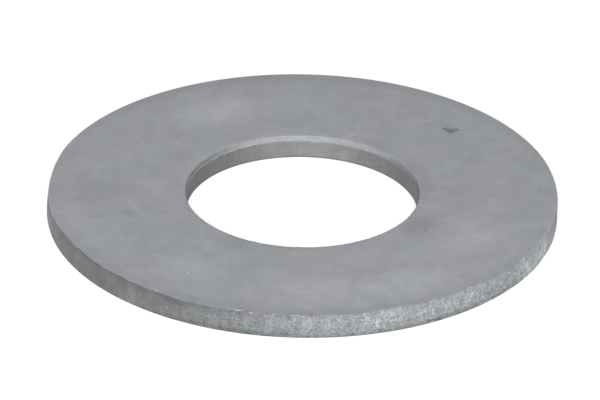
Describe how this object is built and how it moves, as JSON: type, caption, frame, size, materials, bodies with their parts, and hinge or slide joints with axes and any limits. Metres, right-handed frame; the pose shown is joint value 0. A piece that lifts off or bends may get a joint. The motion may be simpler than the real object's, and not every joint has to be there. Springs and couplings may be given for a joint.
{
  "type": "flat washer",
  "caption": "Large plain flat washer: a flat steel ring with a wide face that spreads the load under a bolt head or nut, with sheared edges.",
  "frame": {"origin": "centre of the bottom face, on the washer's axis", "axes": "+Z along the washer's axis, from the bottom face to the top face, which is the one with the rounded outer edge; X and Y are any two directions across the face, because the washer is round"},
  "size_m": [0.0766, 0.0766, 0.0036],
  "materials": {
    "steel": "plain mill-finish steel, matt cool grey and faintly mottled, with a rough sheared rim and a smooth punched hole"
  },
  "bodies": {
    "root": {"washer": "steel"}
  },
  "joints": []
}
